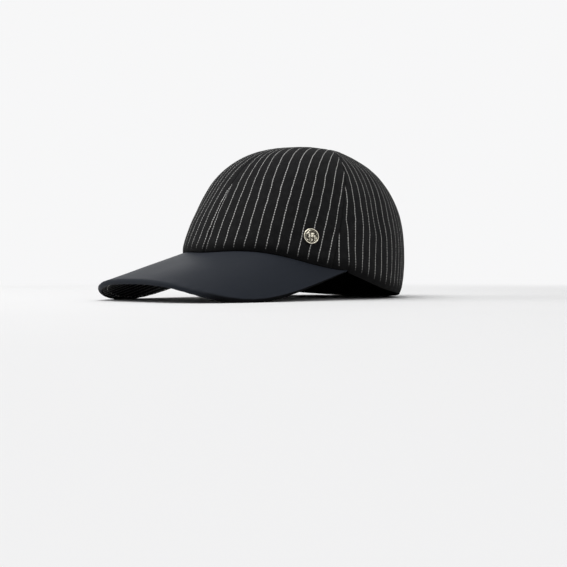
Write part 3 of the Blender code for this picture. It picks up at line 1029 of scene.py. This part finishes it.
@dataclass
class VisorShape:
    """The visor's sections: where each runs, how deep it reaches and how thick it is."""

    shape: CapShape
    thickness: float = 0.0038
    tip_thickness: float = 0.0015
    taper: float = 0.012
    border: float = 0.0022
    lining: float = 0.0013
    lining_from: float = 0.014
    stations: int = 181
    samples: int = 96
    reach: float = 0.993

    def __post_init__(self) -> None:
        """Work out every section once."""
        even = np.linspace(-self.reach, self.reach, self.stations)
        self.station = np.copysign(1.0 - (1.0 - np.abs(even)) ** 1.6, even)
        start, end = self.plan()
        share = np.linspace(0.0, 1.0, self.samples)[None, :, None]
        plan = mix(start[:, None], end[:, None], share)
        height = self.shape.visor_height(plan[..., 0], plan[..., 1])
        self.lines = np.concatenate([plan, height[..., None]], axis=-1)
        steps = np.linalg.norm(np.diff(self.lines, axis=1), axis=-1)
        self.distances = np.pad(np.cumsum(steps, axis=1), ((0, 0), (1, 0)))
        self.depth = self.distances[:, -1]
        grown = 1.0 - np.exp(-self.depth / self.taper)
        self.thick = mix(self.tip_thickness, self.thickness, grown)
        self.roll = np.minimum(0.5 * self.thick, 0.45 * self.depth)
        self.rim = np.minimum(self.border, 0.5 * self.depth)
        self.lined = ease((self.depth - self.lining_from) / 0.003)

    def plan(self) -> tuple[np.ndarray, np.ndarray]:
        """Plan points where each section starts, under the crown, and ends."""
        shape = self.shape
        tip_x, tip_y = shape.visor_tip()
        turn = QUARTER * self.station
        power = 2.0 / shape.visor_outline
        across = np.copysign(np.abs(np.sin(turn)) ** power, self.station)
        reach = tip_y + shape.rim_half_length - shape.hem_tuck + shape.visor_length
        closing = np.abs(self.station) ** 6
        edge_x = shape.visor_half_width * across * (1.0 - closing)
        edge_x += np.copysign(mix(shape.visor_half_width, tip_x, closing) * closing, self.station)
        edge_y = tip_y - reach * np.maximum(np.cos(turn), 0.0) ** power
        start = shape.rim_plan(math.radians(shape.visor_spread) * self.station, shape.hem_tuck)
        return np.stack(start, axis=-1), np.stack([edge_x, edge_y], axis=-1)

    def surface(self, distance: np.ndarray) -> np.ndarray:
        """Points of the upper surface at a distance from the crown, one for each section."""
        out = np.empty((self.stations, 3))
        for index in range(self.stations):
            for axis in range(3):
                out[index, axis] = np.interp(distance[index], self.distances[index],
                                             self.lines[index, :, axis])
        return out

    def below(self, distance: np.ndarray, depth: Number) -> np.ndarray:
        """Points under the upper surface, at a distance from the crown and a depth."""
        points = self.surface(distance)
        up = self.shape.visor_up(points[:, 0], points[:, 1])
        return points - up * np.broadcast_to(depth, (self.stations,))[:, None]

    def lip(self, depth: Number) -> np.ndarray:
        """Points of the lip that runs level under the crown's wall."""
        shape = self.shape
        x, y = shape.rim_plan(math.radians(shape.visor_spread) * self.station,
                              shape.hem_tuck + shape.cloth_wall)
        start = self.lines[:, 0]
        up = shape.visor_up(start[:, 0], start[:, 1])
        return np.stack([x, y, start[:, 2] - depth * up[:, 2]], axis=-1)

    def edge(self, turn: float) -> np.ndarray:
        """Points of the rolled outer edge, from its top at 0 to its bottom at half a turn."""
        top = self.surface(self.depth - self.roll)
        out_way = unit(self.surface(self.depth) - top)
        up = self.shape.visor_up(top[:, 0], top[:, 1])
        half = 0.5 * self.thick[:, None]
        centre = top - up * half
        return centre + out_way * (self.roll[:, None] * math.sin(turn)) + up * half * math.cos(turn)


@dataclass
class VisorCover:
    """The visor's board in its slate cloth, with a thick rolled edge."""

    sections: VisorShape
    top_steps: int = 44
    roll_steps: int = 14
    recess_steps: int = 24
    wave_depth: float = 0.00022
    wave_size: float = 0.03
    ripple_depth: float = 0.00005
    ripple_size: float = 0.008
    calm_depth: float = 0.02
    edge_pucker: float = 0.00009
    # Reach of the painted shade on the rolled edge and on the top beside it.
    edge_from: float = 0.0018
    edge_fade: float = 0.0032
    edge_reach: float = 0.05
    edge_narrowest: float = 0.35
    edge_at_front: float = 0.25
    front_span: float = 0.3

    def loops(self) -> np.ndarray:
        """Closed outline of every section, as one array of points."""
        cut = self.sections
        recess = (cut.lining + cut.shape.seam_gap) * cut.lined
        inner = cut.thick - recess
        loop = [cut.lip(0.0)]
        for step in range(self.top_steps + 1):
            loop.append(cut.below((cut.depth - cut.roll) * step / self.top_steps, 0.0))
        for step in range(1, self.roll_steps + 1):
            loop.append(cut.edge(math.pi * step / self.roll_steps))
        recess_end = cut.depth - np.maximum(cut.rim, cut.roll * 1.08)
        loop.append(cut.below(recess_end + 0.0004, cut.thick))
        loop.append(cut.below(recess_end, cut.thick - 0.0003 * cut.lined))
        for step in range(self.recess_steps, -1, -1):
            loop.append(cut.below(recess_end * step / self.recess_steps, inner))
        loop.append(cut.lip(inner * mix(0.3, 1.0, ease(cut.depth / self.calm_depth))))
        return np.stack(loop, axis=1)

    def build(self) -> bpy.types.Object:
        """Closed body through the sections, with faint waves in its cloth."""
        loops = self.loops()
        count, around = loops.shape[:2]
        up = self.sections.shape.visor_up(loops[..., 0], loops[..., 1])
        top = np.zeros((count, around))
        top[:, 2:self.top_steps + self.roll_steps] = 1.0
        deep = ease(self.sections.depth[:, None] / self.calm_depth)
        waved = (self.wave_depth * waves(loops, self.wave_size, 11.3)
                 + self.ripple_depth * waves(loops, self.ripple_size, 4.2))
        loops = loops + up * (waved * (deep * top))[..., None]
        outer = np.zeros(around)
        outer[self.top_steps - 1:self.top_steps + self.roll_steps + 1] = 1.0
        beat = np.sin(np.arange(count) * 0.9 + 2.0 * np.sin(np.arange(count) * 0.23))
        loops = loops + up * (self.edge_pucker * beat[:, None] * outer * deep)[..., None]
        points = self.sections.shape.set_down(loops).reshape(-1, 3)
        # The rolled attribute holds each point's share of painted shade.
        return mesh_piece("visor_cover", points, tube_faces(count, around), rolled=self.rolled(around))

    def rolled(self, around: int) -> np.ndarray:
        """How much painted shade each point of the sections gets: fully on the rolled edge, less at the
        front.
        """
        cut = self.sections
        first = self.top_steps + 2
        dark = np.zeros((cut.stations, around))
        dark[:, first:first + self.roll_steps + 2] = 1.0
        share = np.arange(self.top_steps, -1, -1) / self.top_steps
        inward = cut.roll[:, None] + (cut.depth - cut.roll)[:, None] * share
        scale = np.clip(cut.depth[:, None] / self.edge_reach, self.edge_narrowest, 1.0)
        dark[:, 1:first] = np.clip(1.0 - (inward / scale - self.edge_from) / self.edge_fade, 0.0, 1.0)
        aside = ease((np.abs(cut.station) - self.front_span) / self.front_span)
        return dark * mix(self.edge_at_front, 1.0, aside)[:, None]

    def dress(self, piece: bpy.types.Object, finish: bpy.types.Material) -> None:
        """Give the cover its finish and say what it is."""
        piece.data.materials.append(finish)
        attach(piece, "root")
        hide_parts("visor_top")
        report(piece)


@dataclass
class VisorLining:
    """Pinstripe cloth under the visor, its stripes running from front to back."""

    sections: VisorShape
    stripe_pitch: float = 0.0036
    stripe_shift: float = 0.25
    slope_stretch: float = 1.08
    steps: int = 64
    wave_depth: float = 0.00018
    wave_size: float = 0.014

    def build(self) -> tuple[bpy.types.Object, tuple[float, float, float]]:
        """Thin closed cloth, nested inside the rolled edge, and its flat width, length and area."""
        cut = self.sections
        kept = np.nonzero(cut.depth > cut.lining_from + 0.0008)[0]
        end = cut.depth - cut.rim - cut.shape.seam_gap
        wall = cut.lining * np.maximum(cut.lined, 0.35)
        over, under = [], []
        for step in range(self.steps + 1):
            distance = end * step / self.steps
            over.append(cut.below(distance, cut.thick - wall)[kept])
            under.append(cut.below(distance, cut.thick)[kept])
        upper = np.stack(over, axis=1)
        lower = np.stack(under, axis=1)
        up = cut.shape.visor_up(lower[..., 0], lower[..., 1])
        calm = np.sin(math.pi * np.linspace(0.0, 1.0, self.steps + 1))[None, :]
        waved = self.wave_depth * waves(lower, self.wave_size, 21.0) * calm
        lower = lower + up * waved[..., None]
        loops = np.concatenate([upper, lower[:, ::-1]], axis=1)
        count, around = loops.shape[:2]
        across = self.over_arch(loops[..., 0])
        along = (0.1 - loops[..., 1]) / MM
        cloth = np.stack([across / self.stripe_pitch + self.stripe_shift, along], axis=-1)
        piece = mesh_piece("visor_lining", cut.shape.set_down(loops).reshape(-1, 3),
                           tube_faces(count, around), cloth.reshape(-1, 2))
        length = float(np.ptp(loops[..., 1]) * self.slope_stretch)
        return piece, (2.0 * float(np.abs(across).max()), length, grid_area(lower))

    def over_arch(self, x: np.ndarray) -> np.ndarray:
        """Lengths over the arch from its middle to places across it, signed like them."""
        reach = np.linspace(0.0, 0.09, 400)
        drop = self.sections.shape.visor_height(reach, np.zeros_like(reach))
        arc = np.pad(np.cumsum(np.hypot(np.diff(reach), np.diff(drop))), (1, 0))
        return np.copysign(np.interp(np.abs(x), reach, arc), x)

    def dress(self, piece: bpy.types.Object, size: tuple[float, float, float],
              finish: bpy.types.Material) -> None:
        """Give the lining its finish and say what it is."""
        piece.data.materials.append(finish)
        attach(piece, "root")
        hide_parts("visor_underside")
        report(piece)


@dataclass
class EdgeStitching:
    """Row of stitches under the visor, a few millimetres inside its rolled edge."""

    sections: VisorShape
    pitch: float = 0.0041
    length: float = 0.0023
    width: float = 0.00065
    inside: float = 0.0042
    from_depth: float = 0.026
    look_ahead: float = 0.0005
    stretch: float = 0.6
    stray: float = 0.0006

    def path(self) -> tuple[np.ndarray, np.ndarray]:
        """Points of the row and the directions that face down from the cloth."""
        cut = self.sections
        kept = cut.depth > self.from_depth
        distance = cut.depth - cut.rim - self.inside
        line = cut.below(distance, cut.thick)[kept]
        down = -cut.shape.visor_up(line[:, 0], line[:, 1])
        return line, down

    def one_stitch(self) -> bpy.types.Object:
        """Model a single stitch: a thread that arches out of the cloth and dives back."""
        deselect()
        bpy.ops.mesh.primitive_cylinder_add(vertices=8, radius=0.5 * self.width, depth=self.length,
                                            rotation=(0.0, QUARTER, 0.0))
        stitch = bpy.context.object
        bpy.ops.object.transform_apply(location=False, rotation=True, scale=True)
        pick_faces(stitch, lambda centre, normal: True)
        bpy.ops.mesh.bisect(plane_co=(0.3 * self.length, 0.0, 0.0), plane_no=(1.0, 0.0, 0.0))
        bpy.ops.mesh.select_all(action="SELECT")
        bpy.ops.mesh.bisect(plane_co=(-0.3 * self.length, 0.0, 0.0), plane_no=(1.0, 0.0, 0.0))
        end = 0.42 * self.length
        pick_faces(stitch, lambda centre, normal: abs(centre.x) > end and abs(normal.x) > 0.9)
        bpy.ops.transform.resize(value=(1.0, 0.55, 0.55))
        bpy.ops.transform.translate(value=(0.0, 0.0, -0.45 * self.width))
        deselect()
        return stitch

    def build(self) -> bpy.types.Object:
        """Copy the stitch along the row, a little uneven, and join the copies."""
        line, down = self.path()
        steps = np.linalg.norm(np.diff(line, axis=0), axis=1)
        travel = np.pad(np.cumsum(steps), (1, 0))
        model = self.one_stitch()
        stitches = []
        count = int(travel[-1] / self.pitch)
        for index in range(count):
            place = (index + 0.5) * travel[-1] / count
            spot, ahead, out = (
                Vector([float(np.interp(at, travel, table[:, axis])) for axis in range(3)])
                for at, table in ((place, line), (place + self.look_ahead, line), (place, down)))
            along = (ahead - spot).normalized()
            out = (out - along * out.dot(along)).normalized()
            sway = noise.noise(Vector((index * 0.73, 2.0, 5.0)))
            side = out.cross(along)
            turn = Matrix((along, side, out)).transposed().to_4x4()
            stretch = Matrix.Diagonal((1.0 + self.stretch * sway, 1.0, 1.0, 1.0))
            copy = bpy.data.objects.new(f"stitch_{index}", model.data.copy())
            bpy.context.scene.collection.objects.link(copy)
            seat = Matrix.Translation(spot + side * (self.stray * sway))
            copy.data.transform(self.sections.shape.rest_matrix() @ seat @ turn @ stretch)
            stitches.append(copy)
        bpy.data.objects.remove(model, do_unlink=True)
        deselect()
        for stitch in stitches:
            stitch.select_set(True)
        bpy.context.view_layer.objects.active = stitches[0]
        bpy.ops.object.join()
        row = bpy.context.object
        row.name = "visor_stitching"
        row.data.name = "visor_stitching"
        row.data.shade_smooth()
        return row

    def dress(self, piece: bpy.types.Object, finish: bpy.types.Material) -> None:
        """Give the stitches their finish and let them ride."""
        piece.data.materials.clear()
        piece.data.materials.append(finish)
        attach(piece, "root")
        report(piece)


@dataclass(frozen=True)
class StudRing:
    """One ring of the stud's turned profile, as shares of its radius and height."""

    radius: float
    height: float


@dataclass
class SideStud:
    """Round stud with a raised rim and a hammered dome."""

    shape: CapShape
    radius: float = 0.0058
    height: float = 0.003
    angle: float = 55.5
    climb: float = 7.5
    sides: int = 72
    foot: StudRing = StudRing(0.86, 0.14)
    rings: tuple[StudRing, ...] = (
        StudRing(1.0, 0.26),
        StudRing(1.0, 0.52),
        StudRing(0.965, 0.68),
        StudRing(0.91, 0.74),
        StudRing(0.86, 0.7),
        StudRing(0.825, 0.56),
        StudRing(0.78, 0.58),
        StudRing(0.67, 0.76),
        StudRing(0.5, 0.9),
        StudRing(0.3, 0.98),
        StudRing(0.1, 1.0),
    )
    dimple: float = 0.00042
    dimple_size: float = 0.0022
    dimple_shift: tuple[float, float, float] = (3.3, 1.9, 0.4)
    warp_shift: tuple[float, float, float] = (5.0, 1.0, 0.0)
    dome_share: float = 0.8
    dome_fade: float = 0.12
    crack_width: float = 0.3
    aged: float = 0.28
    groove_at: float = 0.81
    groove_half: float = 0.045

    def seat(self) -> Matrix:
        """Place of the stud on the crown, its back a seam's gap off the cloth."""
        shape = self.shape
        angle, climb = math.radians(self.angle), math.radians(self.climb)
        step = 0.01

        def at(turn: float, rise: float) -> Vector:
            """Point of the crown's outside."""
            return Vector(shape.crown(np.array(turn), np.array(rise), 0.0))

        round_way = at(angle + step, climb) - at(angle - step, climb)
        up_way = at(angle, climb + step) - at(angle, climb - step)
        out = round_way.cross(up_way).normalized()
        upright = (up_way - out * up_way.dot(out)).normalized()
        turn = Matrix((upright.cross(out), upright, out)).transposed().to_4x4()
        place = at(angle, climb) + out * shape.seam_gap
        return shape.rest_matrix() @ Matrix.Translation(place) @ turn

    def build(self) -> bpy.types.Object:
        """Turn the profile ring by ring, soften its edges and hammer its dome."""
        deselect()
        foot = self.foot
        bpy.ops.mesh.primitive_cylinder_add(vertices=self.sides, radius=foot.radius * self.radius,
                                            depth=foot.height * self.height,
                                            location=(0.0, 0.0, 0.5 * foot.height * self.height))
        stud = bpy.context.object
        stud.name = "stud_dome"
        stud.data.name = "stud_dome"
        bpy.ops.object.transform_apply(location=True, rotation=True, scale=True)
        last = foot
        pick_faces(stud, lambda centre, normal: normal.z > 0.9)
        for ring in self.rings:
            bpy.ops.mesh.extrude_region_move(
                TRANSFORM_OT_translate={"value": (0.0, 0.0, (ring.height - last.height) * self.height)})
            grown = ring.radius / last.radius
            bpy.ops.transform.resize(value=(grown, grown, 1.0),
                                     center_override=(0.0, 0.0, ring.height * self.height))
            last = ring
        bpy.ops.mesh.poke()
        deselect()
        choose(stud)
        smooth = stud.modifiers.new("round", "SUBSURF")
        smooth.levels = 2
        smooth.render_levels = 2
        bpy.ops.object.modifier_apply(modifier=smooth.name)
        self.hammer(stud)
        stud.data.shade_smooth()
        stud.data.transform(self.seat())
        return stud

    def hammer(self, stud: bpy.types.Object) -> None:
        """Press shallow dimples into the dome and keep how low each point lies."""
        low = []
        for vertex in stud.data.vertices:
            away = math.hypot(vertex.co.x, vertex.co.y) / self.radius
            on_top = vertex.co.z > 0.4 * self.height
            inside = float(ease((self.dome_share - away) / self.dome_fade)) if on_top else 0.0
            spot = Vector((vertex.co.x, vertex.co.y, 0.0)) / self.dimple_size + Vector(self.dimple_shift)
            wide = spot * 1.3
            warp = Vector((noise.noise(wide), noise.noise(wide + Vector(self.warp_shift)), 0.0))
            near, far = noise.voronoi(spot + 0.5 * warp)[0][:2]
            crack = 1.0 - float(ease((far - near) / self.crack_width))
            press = crack * (0.6 + 0.8 * noise.noise(spot * 0.8))
            vertex.co.z -= self.dimple * inside * press
            groove = math.exp(-(((away - self.groove_at) / self.groove_half) ** 2))
            low.append(min(1.0, max(0.0, inside * (self.aged + 1.2 * press)) + groove))
        layer = stud.data.attributes.new("patina", "FLOAT", "POINT")
        layer.data.foreach_set("value", low)

    def dress(self, piece: bpy.types.Object, finish: bpy.types.Material) -> None:
        """Give the stud its finish, hide the solid that it stands for and log it."""
        piece.data.materials.clear()
        piece.data.materials.append(finish)
        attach(piece, "root")
        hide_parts("side_stud")
        report(piece)


@dataclass(frozen=True)
class SoftLight:
    """Square soft light that looks at the cap. Metres, watts."""

    name: str
    place: tuple[float, float, float]
    size: float
    power: float


@dataclass
class Studio:
    """Pale floor and room, soft lights, and the camera low over the floor."""

    azimuth: float = 44.5
    elevation: float = -3.0
    distance: float = 0.756
    focal_pixels: float = 960.0
    image_pixels: float = 567.0
    centre_pixel: tuple[float, float] = (269.5, 221.5)
    sensor_width: float = 36.0
    floor_radius: float = 12.0
    room_light: float = 0.42
    lit_point: tuple[float, float, float] = (0.0, 0.0, 0.05)
    lights: tuple[SoftLight, ...] = (
        SoftLight("light_over", (-0.2, -0.35, 1.5), 1.3, 17.5),
        SoftLight("light_front_left", (-1.3, -1.1, 0.9), 1.0, 9.0),
        SoftLight("light_right", (1.5, -0.3, 0.8), 1.0, 4.0),
        SoftLight("light_back", (-1.3, 1.3, 0.6), 1.2, 7.0),
    )

    def build(self, finish: StudioWhite) -> None:
        """Add the floor, the room's light, the lights and the camera."""
        deselect()
        bpy.ops.mesh.primitive_circle_add(vertices=96, radius=self.floor_radius, fill_type="NGON")
        floor = bpy.context.object
        floor.name = "floor"
        floor.data.materials.append(finish.material())
        floor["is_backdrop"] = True
        world = bpy.data.worlds.new("pale_room")
        world.use_nodes = True
        nodes, links = world.node_tree.nodes, world.node_tree.links
        nodes["Background"].inputs["Color"].default_value = finish.room
        seen = nodes.new("ShaderNodeLightPath").outputs["Is Camera Ray"]
        strength = nodes.new("ShaderNodeMapRange")
        strength.inputs["To Min"].default_value = self.room_light
        links.new(seen, strength.inputs["Value"])
        links.new(strength.outputs["Result"], nodes["Background"].inputs["Strength"])
        bpy.context.scene.world = world
        bpy.context.scene.view_settings.view_transform = "Standard"
        for light in self.lights:
            lamp = bpy.data.lights.new(light.name, "AREA")
            lamp.size = light.size
            lamp.energy = light.power
            holder = bpy.data.objects.new(light.name, lamp)
            holder.location = light.place
            aim = Vector(self.lit_point) - holder.location
            holder.rotation_euler = aim.to_track_quat("-Z", "Y").to_euler()
            bpy.context.scene.collection.objects.link(holder)
        self.add_camera()

    def add_camera(self) -> None:
        """Camera at the viewing angle, turned so that the cap falls on its place in the image."""
        low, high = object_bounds()
        target = 0.5 * (low + high)
        turn, rise = math.radians(self.azimuth), math.radians(self.elevation)
        back = Vector((math.sin(turn) * math.cos(rise), -math.cos(turn) * math.cos(rise), math.sin(rise)))
        right = (-back).cross(Vector((0.0, 0.0, 1.0))).normalized()
        middle = 0.5 * self.image_pixels
        yaw = math.atan((self.centre_pixel[0] - middle) / self.focal_pixels)
        pitch = math.atan((self.centre_pixel[1] - middle) / self.focal_pixels)
        look = Matrix.Rotation(yaw, 3, "Z") @ (Matrix.Rotation(pitch, 3, right) @ -back)
        data = bpy.data.cameras.new("camera")
        data.sensor_width = self.sensor_width
        data.lens = self.focal_pixels * data.sensor_width / self.image_pixels
        data.clip_start = 0.05
        data.clip_end = 40.0
        camera = bpy.data.objects.new("camera", data)
        camera.location = target + back * self.distance
        camera.rotation_euler = look.to_track_quat("-Z", "Y").to_euler()
        bpy.context.scene.collection.objects.link(camera)
        bpy.context.scene.camera = camera


def main() -> None:
    """Build the cap's sub-assemblies in order, then the studio round them."""
    logging.basicConfig(level=logging.INFO, format="%(message)s")
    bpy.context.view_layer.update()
    shape = CapShape()
    wool = PinstripeWool().material()
    Crown(shape, ArcMap(shape)).build(wool)
    sections = VisorShape(shape)
    cover = VisorCover(sections)
    cover.dress(cover.build(), SlateSatin().material())
    lining = VisorLining(sections)
    cloth, size = lining.build()
    lining_wool = PinstripeWool(name="lining_wool", pitch=3.6, half_line=0.8, bead=1.6,
                                ground=(0.0085, 0.0088, 0.0088, 1.0),
                                ground_light=(0.017, 0.0176, 0.0176, 1.0),
                                stripe=(0.17, 0.17, 0.17, 1.0))
    lining.dress(cloth, size, lining_wool.material())
    stitching = EdgeStitching(sections)
    stitching.dress(stitching.build(), PaleThread().material())
    stud = SideStud(shape)
    stud.dress(stud.build(), AgedBrass().material())
    Studio().build(StudioWhite())


if __name__ == "__main__":
    main()
